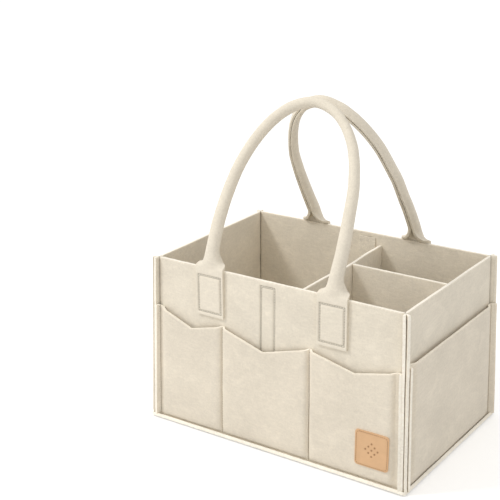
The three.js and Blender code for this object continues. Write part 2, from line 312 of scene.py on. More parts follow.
def felt_finish(name, shade, fleck=0.08, nap=1.0, mottle=1.5):
    """Pressed felt: short fibres at every angle, cloudy patches of tone, pale wisps and a soft sheen.
    It carries painted shade where it is pressed in, in grooves, seam creases and valleys, and is lighter
    along its cut edges: paler cut fibres and a painted highlight."""
    finish = bpy.data.materials.new(name)
    finish.use_nodes = True
    nodes, links = finish.node_tree.nodes, finish.node_tree.links
    shader = nodes["Principled BSDF"]
    shader.inputs["Roughness"].default_value = 0.95
    shader.inputs["Specular IOR Level"].default_value = 0.15
    shader.inputs["Sheen Weight"].default_value = 0.2
    shader.inputs["Sheen Roughness"].default_value = 0.6
    shader.inputs["Sheen Tint"].default_value = (1, 0.97, 0.93, 1)
    where = nodes.new("ShaderNodeTexCoord")

    def noise(scale, detail, roughness, turn=(0, 0, 0), stretch=(1, 1, 1), swirl=0.0):
        texture = nodes.new("ShaderNodeTexNoise")
        texture.inputs["Scale"].default_value = scale
        texture.inputs["Detail"].default_value = detail
        texture.inputs["Roughness"].default_value = roughness
        texture.inputs["Distortion"].default_value = swirl
        placing = nodes.new("ShaderNodeMapping")
        placing.inputs["Rotation"].default_value = turn
        placing.inputs["Scale"].default_value = stretch
        links.new(where.outputs["Object"], placing.inputs["Vector"])
        links.new(placing.outputs["Vector"], texture.inputs["Vector"])
        return texture.outputs["Fac"]

    def weigh(value, low, high, out_low, out_high):
        ramp = nodes.new("ShaderNodeMapRange")
        ramp.inputs["From Min"].default_value = low
        ramp.inputs["From Max"].default_value = high
        ramp.inputs["To Min"].default_value = out_low
        ramp.inputs["To Max"].default_value = out_high
        links.new(value, ramp.inputs["Value"])
        return ramp.outputs["Result"]

    def both(operation, first, second):
        joined = nodes.new("ShaderNodeMath")
        joined.operation = operation
        links.new(first, joined.inputs[0])
        links.new(second, joined.inputs[1])
        return joined.outputs[0]

    clouds = weigh(noise(17, 3, 0.55), 0.32, 0.68, -0.035 * mottle, 0.025 * mottle)
    wisps = weigh(noise(34, 5, 0.55, (0.4, 0.3, 0.8), (1, 0.7, 1.2), 1.2), 0.5, 0.74, 0, 0.05 * mottle)
    grain = weigh(noise(240, 4, 0.65), 0.3, 0.7, -0.03, 0.03)
    strands = both(
        "MAXIMUM",
        noise(560, 2, 0.5, (0.3, 0.5, 0.7), (1, 0.2, 0.7)),
        noise(560, 2, 0.5, (1.1, 0.2, 2.2), (0.2, 1, 0.7)),
    )
    threads = weigh(strands, 0.45, 0.75, -fleck / 2, fleck / 2)
    tone = both("ADD", both("ADD", clouds, wisps), both("ADD", threads, grain))
    pressed = nodes.new("ShaderNodeAttribute")
    pressed.attribute_name = "pressed_in_shade"
    # Painted shade where the felt is pressed in: its grooves, seam creases and valleys.
    tone = both("ADD", tone, weigh(pressed.outputs["Fac"], 0.4, 0.8, 0, -groove_painted_shade))
    frayed = nodes.new("ShaderNodeAttribute")
    frayed.attribute_name = "frayed"
    # Lighter along the cut edges: the paler cut fibres and a painted highlight.
    tone = both("ADD", tone, weigh(frayed.outputs["Fac"], 0.35, 1, 0, fray_and_highlight))
    lit = nodes.new("ShaderNodeMath")
    lit.operation = "ADD"
    lit.inputs[1].default_value = 1
    links.new(tone, lit.inputs[0])
    tinted = nodes.new("ShaderNodeVectorMath")
    tinted.operation = "SCALE"
    tinted.inputs[0].default_value = shade
    links.new(lit.outputs[0], tinted.inputs["Scale"])
    links.new(tinted.outputs["Vector"], shader.inputs["Base Color"])

    relief = both("ADD", weigh(strands, 0, 1, 0, 0.5 * nap), weigh(noise(300, 4, 0.6), 0, 1, 0, 0.6))
    bump = nodes.new("ShaderNodeBump")
    bump.inputs["Strength"].default_value = 0.5
    bump.inputs["Distance"].default_value = 0.001
    links.new(relief, bump.inputs["Height"])
    links.new(bump.outputs["Normal"], shader.inputs["Normal"])
    return finish


base_shade = (0.745, 0.685, 0.58)
# Cut edges are paler than the faces: partly their own cut fibres, partly a painted highlight.
edge_shade = (0.93, 0.88, 0.78)
base_corner = 0.004
hem_share = 0.12
base_cell = 0.004
base_hem = 0.0028
hem_half_width = 0.0013
rim_reach = 0.0066
rim_lift = 0.0026

base_low, base_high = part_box("base_panel")
base_size = base_high - base_low
base_face = felt_finish("base_felt_face", base_shade)
cut_edge = felt_finish("felt_cut_edge_highlit", edge_shade, fleck=0.14, nap=1.6)


def line_cuts(places, half_width):
    """Mesh lines for the grooves that rows of stitches press into the felt."""
    cuts = []
    for place in places:
        cuts += [place + share * half_width for share in (-1, -0.4, 0.4, 1)]
    return cuts


def round_corners(sheet, width, height, radius):
    """Draws a flat sheet's square corners in to quarter circles, with the mesh near them."""
    for corner in sheet.data.vertices:
        u = (abs(corner.co.x) - width / 2) / radius + 1
        v = (abs(corner.co.y) - height / 2) / radius + 1
        if u > 0 and v > 0:
            drawn = radius * (max(u, v) / math.hypot(u, v) - 1)
            corner.co.x += math.copysign(1, corner.co.x) * u * drawn
            corner.co.y += math.copysign(1, corner.co.y) * v * drawn


base_rows = {axis: (base_high[axis] - base_hem) for axis in (0, 1)}
base = cut_sheet(
    "base_felt_panel", base_size.x, base_size.y, base_cell,
    line_cuts([-base_rows[0], base_rows[0]], hem_half_width),
    line_cuts([-base_rows[1], base_rows[1]], hem_half_width),
)
# The hem's row of stitches presses a groove, which also gets painted shade.
set_press(base, lambda at: hem_share if (
    (abs(abs(at.x) - base_rows[0]) < hem_half_width / 2 and abs(at.y) < base_rows[1] + hem_half_width / 2)
    or (abs(abs(at.y) - base_rows[1]) < hem_half_width / 2 and abs(at.x) < base_rows[0] + hem_half_width / 2)
) else 1)
round_corners(base, base_size.x, base_size.y, base_corner)
for corner in base.data.vertices:
    from_rim = min(base_high.x - abs(corner.co.x), base_high.y - abs(corner.co.y))
    corner.co.z += rim_lift * max(0, 1 - from_rim / rim_reach) ** 2
base.data.materials.append(base_face)
base.data.materials.append(cut_edge)
settle(base, place=(0, 0, base_size.z / 2))
thicken(base, base_size.z, softening=0.0007, fine=0.0008)
for corner in base.data.vertices:
    corner.co.z = max(corner.co.z, 0)
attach(base, "basket")
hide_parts("base_panel")

# The walls: four sheets of felt, each end turned out into a lip. Two neighbours are sewn together at the
# corner, which pinches the felt there, and beyond the seam their cut edges stand a little apart.
wall_shade = (0.815, 0.75, 0.635)
wall_felt = 0.004
wall_cell = 0.004
layer_gap = 0.0003
seam_past_run = 0.0017
seam_pinch = 0.21
pinch_before = 0.0030
pinch_after = 0.0066
lip_folds = {
    "long": ((-0.0005, 34), (0.0005, 34), (0.0036, 7)),
    "short": ((-0.0005, 26), (0.0005, 26)),
}
lip_reach = {"long": 0.0084, "short": 0.0098}
lip_foot = (0.0020, 0.0012)
lip_flare_start = 0.0065
lip_flare_reach = 0.006
lip_flare_most = 1.5
foot_flare = {"long": (0.0050, 0.0033), "short": (0.0033, 0.0050)}
groove_half_width = 0.0024
groove_floor = 0.0011
groove_share = 0.22
wall_turns = {"front": 0, "right": 90, "back": 180, "left": -90}
wall_reach = {"long": 0.121, "short": 0.186}
wall_run = {"long": wall_reach["short"] - layer_gap, "short": wall_reach["long"] - layer_gap}
front_wall_low, front_wall_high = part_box("front_wall")
wall_foot, wall_top = front_wall_low.z, front_wall_high.z
wall_middle = (wall_foot + wall_top) / 2

wall_face = felt_finish("wall_felt_face", wall_shade)


def fold_lips(sheet, seam, folds, level_y):
    """Turns both ends of an upright sheet outwards, in a few small folds, as thick felt turns."""
    open_for_edit(sheet)
    for way in (1, -1):
        for past, degrees in reversed(folds):
            line = seam + past
            pick(sheet, "verts", lambda at: at.x * way > line + 1e-6)
            bpy.ops.transform.rotate(
                value=way * math.radians(degrees), orient_axis="Z", center_override=(way * line, level_y, 0),
            )
    close_edit()


def flare_out(sheet, kind):
    """The basket stands a little wider at its foot than at its mouth, and its lips run out further."""
    run, reach = wall_run[kind], wall_reach[kind]
    lengthwise, outward = foot_flare[kind]
    for corner in sheet.data.vertices:
        share = 1 - corner.co.z / wall_top
        past = max(0, -corner.co.y - reach - lip_flare_start) / lip_flare_reach
        past = min(lip_flare_most, past) if abs(corner.co.x) > run else 0
        way = math.copysign(1, corner.co.x)
        corner.co.x += share * lengthwise * max(-1, min(1, corner.co.x / run))
        corner.co.x += share * lip_foot[0] * past * way
        corner.co.y -= share * (outward + lip_foot[1] * past)


def turn_side(piece, side):
    """Turns a piece that was made as the front into its own side of the basket."""
    settle(piece, turn=(0, 0, math.radians(wall_turns[side])))


def near(place, lines, reach):
    return any(abs(place - line) < reach for line in lines)


def pinch_share(past):
    """How thick the felt is, past the line where the corner seam pinches it."""
    if past < 0:
        return min(1, seam_pinch + (1 - seam_pinch) * -past / pinch_before)
    return min(1, seam_pinch + (1 - seam_pinch) * past / pinch_after)


def make_wall(side, tape_columns=(), tape_levels=()):
    """tape_columns and tape_levels are the stitch lines of the loop tape that is sewn on inside."""
    kind = "long" if side in ("front", "back") else "short"
    run, reach = wall_run[kind], wall_reach[kind]
    seam = run + seam_past_run
    pinch_lines = [-pinch_before, -pinch_before / 2, 0, pinch_after / 3, 2 * pinch_after / 3]
    seam_lines = [way * (seam + past) for way in (1, -1) for past in pinch_lines]
    seam_lines += [way * (seam + past) for way in (1, -1) for past, _ in lip_folds[kind]]
    sheet = cut_sheet(
        side + "_wall_panel", 2 * (seam + lip_reach[kind]), wall_top - wall_foot, wall_cell,
        line_cuts(tape_columns, groove_half_width) + seam_lines,
        line_cuts([level - wall_middle for level in tape_levels], groove_half_width),
    )

    # Thinner felt at the pinched corner seam and along the tape's stitch lines; both also get painted shade
    # in their creases and grooves.
    def press(at):
        level = at.y + wall_middle
        share = pinch_share(abs(at.x) - seam)
        if tape_columns:
            within_rows = tape_levels[0] < level < tape_levels[1] + groove_half_width / 2
            within_columns = tape_columns[0] < at.x < tape_columns[1]
            on_column = within_rows and near(at.x, tape_columns, groove_floor)
            on_row = within_columns and near(level, tape_levels, groove_floor)
            share = groove_share if on_column or on_row else share
        return share

    set_press(sheet, press)
    level_y = -reach - wall_felt / 2
    settle(sheet, turn=(math.pi / 2, 0, 0), place=(0, level_y, wall_middle))
    fold_lips(sheet, seam, lip_folds[kind], level_y)
    flare_out(sheet, kind)
    sheet.data.materials.append(wall_face)
    sheet.data.materials.append(cut_edge)
    push_by(sheet, felt_waves, 0.0010)
    thicken(sheet, wall_felt)
    turn_side(sheet, side)
    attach(sheet, "basket")
    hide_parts(side + "_wall")
    return sheet


tape_levels = (0.043, 0.2315)
front_tape_columns = (-0.0197, 0.0010)
back_tape_columns = (-0.0081, 0.0076)
walls = {
    "front": make_wall("front", front_tape_columns, tape_levels),
    "back": make_wall("back", back_tape_columns, tape_levels),
    "left": make_wall("left"),
    "right": make_wall("right"),
}

# The pocket panels: thinner felt, sewn down in the corners and along two inner seams on the long sides.
# Their mouths dip between the seams, and the felt bows out from seam to seam.
pocket_shade = (0.805, 0.735, 0.62)
pocket_felt = 0.003
pocket_bow = 0.0043
pocket_ramp = 0.0042
pocket_valley = 0.0055
shaded_valley_share = 0.66
shaded_foot_share = 0.5
pocket_belly = 0.018
seam_strip = 0.0016
pocket_seam_share = 0.42
pocket_bend = {"long": -0.0009, "short": -0.0005}
pocket_turn = {"long": 18, "short": 15}
pocket_folds = (-0.0012, -0.0004, 0.0004, 0.0012)
pocket_lip_line = 0.0026
bend_half_width = 0.0009
foot_row = 0.0005
seam_sink = 0.0007
bow_share, belly_share = 0.7, 0.5
pocket_lip = {"long": 0.0058, "short": 0.0080}
mouth_high = 0.172
mouth_seam = 0.163
mouth_dip = 0.020
pocket_seam_shares = (-0.425, 0.303)
mouth_low_shares = (0.54, 0.49, 0.517)
mouth_dip_shares = (0.65, 1, 0.75)

pocket_face = felt_finish("pocket_felt_face", pocket_shade)


def along(knots, place):
    """Straight lines between knots, each a place and the value there."""
    for (left, low), (right, high) in zip(knots, knots[1:]):
        if place <= right:
            return low + (high - low) * (place - left) / (right - left)
    return knots[-1][1]


def ease(share):
    share = max(0, min(1, share))
    return share * share * (3 - 2 * share)


def make_pocket(side, seams, mouth):
    """mouth lists the panel's top edge as seen from outside: places along the wall and heights."""
    kind = "long" if side in ("front", "back") else "short"
    run, reach = wall_run[kind], wall_reach[kind]
    bend = run + pocket_bend[kind]
    level_y = -reach - wall_felt - layer_gap - pocket_felt / 2
    bend_lines = (-pocket_valley, -pocket_valley / 2, *pocket_folds, 0, pocket_lip_line)
    upright_lines = line_cuts(seams, seam_strip) + line_cuts(seams, seam_strip + pocket_ramp / 2)
    upright_lines += [place for place, _ in mouth[1:-1]]
    upright_lines += [way * (bend + past) for way in (1, -1) for past in bend_lines]
    full_height = mouth_high - wall_foot
    panel = cut_sheet(
        side + "_pocket_felt", 2 * (bend + pocket_lip[kind]), full_height, wall_cell, upright_lines,
    )

    # Thinner felt at the seams, the lip bends, the foot row and the valley beside each lip, all with painted
    # shade; the valley and foot row mainly carry the painted shade of the hollow by the lip and of the gap
    # above the base.
    def press(at):
        if near(at.x, seams, seam_strip / 2):
            return pocket_seam_share
        if at.y < -full_height / 2 + foot_row:
            return shaded_foot_share
        if near(abs(at.x), [bend], bend_half_width):
            return pocket_seam_share
        return shaded_valley_share if near(abs(at.x), [bend - pocket_valley / 2], pocket_valley / 2) else 1

    set_press(panel, press)
    middle = (mouth_high + wall_foot) / 2
    posts = [-bend + pocket_valley, *seams, bend - pocket_valley]
    for corner in panel.data.vertices:
        place, level = corner.co.x, corner.co.y + middle
        share = (level - wall_foot) / full_height
        height = wall_foot + share * (along(mouth, place) - wall_foot)
        nearest = min(abs(place - post) for post in posts)
        bow = pocket_bow * ease((nearest - seam_strip) / pocket_ramp) ** bow_share
        if abs(place) > bend - pocket_valley:
            bow = 0
        sunk = -seam_sink if near(place, seams, seam_strip / 2) else 0
        bow *= ease((height - wall_foot) / pocket_belly) ** belly_share
        corner.co = (place, level_y - bow - sunk, height)
    fold_lips(panel, bend, [(past, pocket_turn[kind]) for past in pocket_folds], level_y)
    flare_out(panel, kind)
    panel.data.materials.append(pocket_face)
    panel.data.materials.append(cut_edge)
    push_by(panel, felt_waves, 0.0010)
    thicken(panel, pocket_felt, softening=0.0005)
    turn_side(panel, side)
    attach(panel, "basket")
    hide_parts(side + "_pocket_panel")
    return panel


long_run, short_run = wall_run["long"], wall_run["short"]
long_seams = [share * long_run for share in pocket_seam_shares]
long_posts = [-long_run, *long_seams, long_run]
mouth_end = 0.012
long_mouth = [(-long_run - mouth_end, mouth_high), (-long_run, mouth_high)]
for pocket, (low_share, dip_share) in enumerate(zip(mouth_low_shares, mouth_dip_shares)):
    left_post, right_post = long_posts[pocket], long_posts[pocket + 1]
    lowest = left_post + low_share * (right_post - left_post)
    long_mouth += [(lowest, mouth_seam - dip_share * mouth_dip), (right_post, mouth_seam)]
long_mouth.append((long_run + mouth_end, mouth_seam))
short_mouth = [(-short_run - mouth_end, mouth_high), (short_run + mouth_end, mouth_high)]
pockets = {
    "front": make_pocket("front", long_seams, long_mouth),
    "back": make_pocket("back", long_seams, long_mouth),
    "left": make_pocket("left", [], short_mouth),
    "right": make_pocket("right", [], short_mouth),
}

# The handles: one long felt strip each. Its two ends are sewn flat on the wall as tabs, and above the
# wall it closes round a filler cord into a tube, with its raw edges side by side facing the basket.
strap_shade = (0.835, 0.77, 0.655)
# The strap's cut sides are a darker felt: painted shade on the sides.
strap_edge_painted_shade = (0.70, 0.64, 0.53)
strap_felt = 0.004
strap_width = 0.044
tube_width = 0.0468
tab_drop = 0.067
fold_rise = 0.002
strap_shares = (0, 0.14, 0.28, 0.42, 0.55, 0.655, 0.71, 0.778, 0.84, 0.91, 0.955, 1)
strap_bend = 0.009
curl_start = -0.002
curl_length = 0.032
crown_share = 0.75
tube_turn = math.radians(141)
lip_turn = math.radians(92)
lip_share = 0.22
tab_inset = 0.0042
tab_rows = (0.0055, 0.0567)
tab_groove_share = 0.15
tab_groove_floor = 0.001
tab_row_past = 0.0011
tab_row_half_width = 0.0022
tab_foot_levels = (0, 0.0016, 0.0030)
tab_ring_start, tab_ring_pitch, tab_rings = 0.0094, 0.0038, 12
curl_ring_start, curl_ring_pitch, curl_rings = 0.0602, 0.0017, 24
tube_ring_pitch = 0.0042
arch_shares = (
    (0, 1), (0.06, 1), (0.27, 0.995), (0.5, 0.94), (0.62, 0.875), (0.743, 0.767),
    (0.84, 0.635), (0.91, 0.49), (0.965, 0.31), (1, 0),
)

strap_face = felt_finish("strap_felt_face", strap_shade, mottle=0.8)
strap_shaded_edge = felt_finish("strap_cut_edge_shaded", strap_edge_painted_shade)
fold_offset = wall_reach["long"] + wall_felt + layer_gap + strap_felt
fold_height = wall_top + fold_rise


def smooth_line(points, per_span=24):
    """Points on a centripetal Catmull-Rom curve through the given ones."""
    first = points[0] + (points[0] - points[1])
    last = points[-1] + (points[-1] - points[-2])
    padded = [first, *points, last]
    line = []
    for p0, p1, p2, p3 in zip(padded, padded[1:], padded[2:], padded[3:]):
        d0, d1, d2 = (math.sqrt(max((b - a).length, 1e-9)) for a, b in ((p0, p1), (p1, p2), (p2, p3)))
        t1 = ((p1 - p0) / d0 - (p2 - p0) / (d0 + d1) + (p2 - p1) / d1) * d1
        t2 = ((p2 - p1) / d1 - (p3 - p1) / (d1 + d2) + (p3 - p2) / d2) * d1
        for i in range(per_span):
            t = i / per_span
            line.append(
                (2 * t**3 - 3 * t**2 + 1) * p1 + (t**3 - 2 * t**2 + t) * t1
                + (3 * t**2 - 2 * t**3) * p2 + (t**3 - t**2) * t2
            )
    line.append(points[-1])
    return line


def walk(line):
    """Distances along a line of points, up to each of them."""
    distances = [0]
    for a, b in zip(line, line[1:]):
        distances.append(distances[-1] + (b - a).length)
    return distances


def at_distance(line, distances, distance):
    """The point and the direction of a line at a distance along it."""
    inside = max(0, min(distances[-1], distance))
    low, high = 0, len(distances) - 2
    while low < high:
        half = (low + high + 1) // 2
        if distances[half] <= inside:
            low = half
        else:
            high = half - 1
    a, b = line[low], line[low + 1]
    share = (distance - distances[low]) / (distances[low + 1] - distances[low])
    before, after = line[max(0, low - 1)], line[min(len(line) - 1, low + 2)]
    return a + (b - a) * share, (after - before).normalized()


def curl_at(past):
    """How far the strip has closed into its tube at a distance from the fold: fast, and then more slowly."""
    share = max(0, min(1, (past - curl_start) / curl_length))
    return 1 - (1 - share) ** 2


def strip_section(curl, width):
    """Points across the strip, from edge to edge: x across and y towards the basket, 0 at its back."""
    x = y = 0.0
    side = [(0.0, 0.0)]
    for inner, outer in zip(strap_shares, strap_shares[1:]):
        share = (inner + outer) / 2
        step = (outer - inner) * width / 2
        if share < 1 - lip_share:
            heading = tube_turn * share / (1 - lip_share)
        else:
            heading = tube_turn + (lip_turn - tube_turn) * (share - 1 + lip_share) / lip_share
        x += step * math.cos(curl * heading)
        y += step * math.sin(curl * heading)
        side.append((x, y))
    return [(-x, y) for x, y in reversed(side[1:])] + side


class Strap:
    """Where a handle's strip runs: from its right tab's foot over the crown to its left tab's foot.
    Its sway leans the whole arch to one side, and its spread widens it on its wide side alone."""

    def __init__(self, span, rise, shift, crown_from_middle, sway, wide_side, spread):
        right = [Vector((out * span / 2, 0, up * rise)) for up, out in arch_shares]
        left = [Vector((-point.x, 0, point.z)) for point in reversed(right[:-1])]
        self.arch = smooth_line(right + left)
        self.distances = walk(self.arch)
        self.length = self.distances[-1]
        self.lean = math.asin((fold_offset - crown_from_middle) / rise)
        self.span, self.rise, self.shift, self.sway = span, rise, shift, sway
        self.wide_side, self.spread = wide_side, spread

    def place(self, point):
        """From the handle's own plane into the basket's frame, as seen from outside."""
        sway = along(self.sway, point.z / self.rise)
        if point.x * self.wide_side > 0:
            sway += self.wide_side * along(self.spread, point.z / self.rise)
        return Vector((
            point.x + self.shift + sway,
            -fold_offset + point.z * math.sin(self.lean) + point.y * math.cos(self.lean),
            fold_height + point.z * math.cos(self.lean) - point.y * math.sin(self.lean),
        ))

    def ring(self, distance):
        """Centre, direction across, direction to the basket, curl and taper at a distance from a fold."""
        past = min(distance, self.length - distance)
        if past < strap_bend:
            return self.foot_ring(distance, past)
        point, tangent = at_distance(self.arch, self.distances, distance)
        across = Vector((tangent.z, 0, -tangent.x))
        inward = Vector((0, math.cos(self.lean), -math.sin(self.lean)))
        taper = 1 - (1 - crown_share) * math.sin(math.pi * distance / self.length)
        return self.place(point), across, inward, curl_at(past), taper

    def foot_ring(self, distance, past):
        """Flat on the wall, and then bent over its top edge towards the basket."""
        way = 1 if distance < self.length / 2 else -1
        x = way * self.span / 2 + self.shift
        tab_y = -fold_offset + strap_felt / 2
        if past <= -strap_bend:
            return Vector((x, tab_y, fold_height + past)), Vector((way, 0, 0)), Vector((0, 1, 0)), 0, 1
        knee = Vector((x, tab_y, fold_height + strap_felt / 2 / math.tan(self.lean)))
        turn_start = Vector((x, tab_y, fold_height - strap_bend))
        leaning = Vector((0, math.sin(self.lean), math.cos(self.lean)))
        turn_end = Vector((x, -fold_offset, fold_height)) + leaning * strap_bend
        share = (past + strap_bend) / (2 * strap_bend)
        centre = (1 - share) ** 2 * turn_start + 2 * share * (1 - share) * knee + share**2 * turn_end
        angle = self.lean * ease(share)
        inward = Vector((0, math.cos(angle), -math.sin(angle)))
        return centre, Vector((way, 0, 0)), inward, curl_at(past), 1


def strap_rings(length):
    """Distances of the rings: close together at the stitched rows and in the curl, wider elsewhere."""
    levels = [*tab_foot_levels, *line_cuts(tab_rows, tab_row_half_width)]
    levels += [tab_ring_start + tab_ring_pitch * i for i in range(tab_rings)]
    levels += [curl_ring_start + curl_ring_pitch * i for i in range(curl_rings)]
    start = [level - tab_drop - fold_rise for level in sorted(levels)]
    end = start[-1]
    steps = round((length - 2 * end) / tube_ring_pitch)
    middle = [end + (length - 2 * end) * i / steps for i in range(1, steps)]
    return start + middle + [length - distance for distance in reversed(start)]


def tab_press(from_side, from_foot):
    """The groove that the stitched box presses into a tab, which also gets painted shade."""
    low, high = tab_rows
    on_column = near(from_side, [tab_inset], tab_groove_floor)
    on_column = on_column and low - tab_row_past < from_foot < high + tab_row_past
    on_row = near(from_foot, tab_rows, tab_groove_floor) and from_side > tab_inset - tab_groove_floor
    return tab_groove_share if on_column or on_row else 1


def make_strap(name, strap):
    rings = strap_rings(strap.length)
    deselect_all()
    half = len(strap_shares) - 1
    bpy.ops.mesh.primitive_grid_add(x_subdivisions=2 * half, y_subdivisions=len(rings) - 1, size=1)
    sleeve = bpy.context.object
    sleeve.name = name
    press = sleeve.vertex_groups.new(name="press")
    groove = sleeve.vertex_groups.new(name="groove")
    rings_at = [strap.ring(distance) for distance in rings]
    for corner in sleeve.data.vertices:
        column = round((corner.co.x + 0.5) * 2 * half)
        row = round((corner.co.y + 0.5) * (len(rings) - 1))
        centre, across, inward, curl, taper = rings_at[row]
        width = (strap_width + (tube_width - strap_width) * curl) * taper
        x, y = strip_section(curl, width)[column]
        back = curl * width * (1 - lip_share) / 2 / tube_turn
        corner.co = centre + across * x + inward * (y - back)
        past = min(rings[row], strap.length - rings[row])
        from_side = (1 - strap_shares[abs(column - half)]) * strap_width / 2
        share = tab_press(from_side, past + tab_drop + fold_rise)
        press.add([corner.index], taper * share, "REPLACE")
        groove.add([corner.index], 1 - share, "REPLACE")
    sleeve.data.materials.append(strap_face)
    sleeve.data.materials.append(strap_shaded_edge)
    thicken(sleeve, strap_felt, softening=0.0006, fine=0.0004)
    return sleeve


front_sway = (
    (0, 0), (0.27, -0.003), (0.39, -0.003), (0.62, -0.0015), (0.74, 0.0006), (0.89, 0.0032), (1, 0.0055),
)
front_spread = (
    (0, 0), (0.12, 0.001), (0.26, 0.0028), (0.46, 0.0036), (0.6, 0.0055), (0.78, 0.0052), (0.92, 0.0025),
    (1, 0),
)
back_sway = ((0, -0.0005), (0.1, -0.001), (0.26, 0), (0.42, 0.0018), (0.57, 0.0032), (0.72, 0.0017), (1, 0))
back_spread = ((0, 0), (0.34, 0.0012), (0.48, 0.0038), (0.62, 0.0035), (0.72, 0.0036), (0.86, 0.0018), (1, 0))
straps = {
    "front": Strap(
        span=0.189, rise=0.2385, shift=-0.0055, crown_from_middle=0.0262,
        sway=front_sway, wide_side=1, spread=front_spread,
    ),
    "back": Strap(
        span=0.164, rise=0.247, shift=0.007, crown_from_middle=0.0005,
        sway=back_sway, wide_side=-1, spread=back_spread,
    ),
}
sleeves = {}
for side, strap in straps.items():
    sleeve = make_strap(side + "_handle_strap", strap)
    turn_side(sleeve, side)
    facing = -1 if side == "front" else 1
    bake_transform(sleeve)
    tabs = (side + "_left_tab", side + "_right_tab")
    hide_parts(side + "_handle_sleeve", *tabs)
    sleeves[side] = sleeve

# The filler cords: soft cotton, three strands laid up together, inside each handle's tube. They run from
# just past one foot's curl to just before the other's.
cord_shade = (0.88, 0.86, 0.81)
cord_radius = 0.0045
strand_share = 0.5
lay_pitch = 0.034
cord_rows = 150
cord_sides = 10
cord_clear = 0.002
cord_finish = felt_finish("filler_cotton", cord_shade, fleck=0.06, nap=0.6)

for side, strap in straps.items():
    cord_start = curl_start + curl_length + cord_clear
    strands = []
    for turn in range(3):
        deselect_all()
        bpy.ops.mesh.primitive_cylinder_add(vertices=cord_sides, radius=1, depth=1, end_fill_type="TRIFAN")
        strand = bpy.context.object
        open_for_edit(strand)
        for cut in range(1, cord_rows):
            bpy.ops.mesh.select_all(action="SELECT")
            bpy.ops.mesh.bisect(plane_co=(0, 0, cut / cord_rows - 0.5), plane_no=(0, 0, 1))
        close_edit()
        for corner in strand.data.vertices:
            distance = cord_start + (corner.co.z + 0.5) * (strap.length - 2 * cord_start)
            centre, across, inward, curl, taper = strap.ring(distance)
            radius = cord_radius * taper
            angle = 2 * math.pi * (distance / lay_pitch + turn / 3)
            x = radius * (1 - strand_share) * math.cos(angle) + radius * strand_share * corner.co.x
            y = radius * (1 - strand_share) * math.sin(angle) + radius * strand_share * corner.co.y
            corner.co = centre + across * x + inward * y
        strands.append(strand)
    deselect_all()
    for strand in strands:
        strand.select_set(True)
    bpy.context.view_layer.objects.active = strands[0]
    bpy.ops.object.join()
    cord = bpy.context.object
    cord.name = side + "_handle_cotton_cord"
    open_for_edit(cord)
    bpy.ops.mesh.select_all(action="SELECT")
    bpy.ops.mesh.normals_make_consistent(inside=False)
    close_edit()
    bpy.ops.object.shade_smooth()
    cord.data.materials.append(cord_finish)
    turn_side(cord, side)
    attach(cord, side + "_handle")
    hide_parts(side + "_handle_filler_cord")

# The main divider: one felt sheet whose ends are slit into flaps that fold to the left along the walls.
# The cross divider is a plain sheet that stands between it and the right wall.
# The dividers' felt is painted lighter than the walls', to stand in for more light inside the basket.
divider_lifted_shade = (0.88, 0.815, 0.70)
divider_face = felt_finish("divider_felt_painted_lighter", divider_lifted_shade)

main_low, main_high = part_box("main_divider")
cross_low, cross_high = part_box("cross_divider")
divider_middle = main_high.x - wall_felt / 2
flap_middle = 0.1154
flap_foot, flap_top = 0.050, 0.195
flap_ends = {-1: -0.024, 1: -0.015}
divider_cell = 0.004
bow_most = 0.0035
bow_at = 0.026
bow_reach = 0.062
main_centre = (main_high.z + main_low.z) / 2


def bow_right(at):
    """How far the main divider bows to the right where the cross divider meets it."""
    return bow_most * ease(1 - abs(at.y - bow_at) / bow_reach) * ease(at.z / main_high.z + 0.2)


divider = cut_sheet(
    "main_divider_felt", main_high.y - main_low.y, main_high.z - main_low.z, divider_cell,
    [way * flap_middle for way in (1, -1)], [flap_foot - main_centre, flap_top - main_centre],
)
open_for_edit(divider)
pick(divider, "faces", lambda at: abs(at.x) > flap_middle and flap_foot < at.y + main_centre < flap_top)
bpy.ops.mesh.delete(type="FACE")
close_edit()
settle(divider, turn=(math.pi / 2, 0, math.pi / 2), place=(divider_middle, 0, main_centre))
open_for_edit(divider)
for end, reach in flap_ends.items():
    steps = round((divider_middle - reach) / divider_cell)
    pick(divider, "edges", lambda at: abs(at.y - end * flap_middle) < 1e-4 and flap_foot < at.z < flap_top)
    for step in range(steps):
        bpy.ops.mesh.extrude_edges_move(
            TRANSFORM_OT_translate={"value": (-(divider_middle - reach) / steps, 0, 0)},
        )
bpy.ops.mesh.select_all(action="SELECT")
bpy.ops.mesh.normals_make_consistent(inside=False)
close_edit()
for corner in divider.data.vertices:
    corner.co.x += bow_right(corner.co)
divider.data.materials.append(divider_face)
divider.data.materials.append(cut_edge)
push_by(divider, felt_waves, 0.0008)
thicken(divider, wall_felt)
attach(divider, "divider_insert")
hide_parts("main_divider")

cross_middle = (cross_high + cross_low) / 2
cross_width = cross_high.x - cross_low.x - bow_most
cross = cut_sheet("cross_divider_felt", cross_width, cross_high.z - cross_low.z, divider_cell)
settle(cross, turn=(math.pi / 2, 0, 0), place=cross_middle + Vector((bow_most / 2, 0, 0)))
cross.data.materials.append(divider_face)
cross.data.materials.append(cut_edge)
push_by(cross, felt_waves, 0.0008)
thicken(cross, wall_felt)
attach(cross, "divider_insert")
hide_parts("cross_divider")

# The tapes: brushed loop tape sewn inside the front and back walls, and hook tape on the flaps, whose
# rows of small bent hooks face the loops.
tape_shade = (0.80, 0.74, 0.63)
tape_cell = 0.002
hook_pitch = 0.002
hook_height = 0.0011
hook_thick = 0.00022
hook_push_share = 1.6
loop_backing, hook_backing = 0.0014, 0.0005
tape_face = felt_finish("loop_pile", tape_shade, fleck=0.2, nap=2)
weave_face = felt_finish("hook_weave", tape_shade, fleck=0.05, nap=0.4)


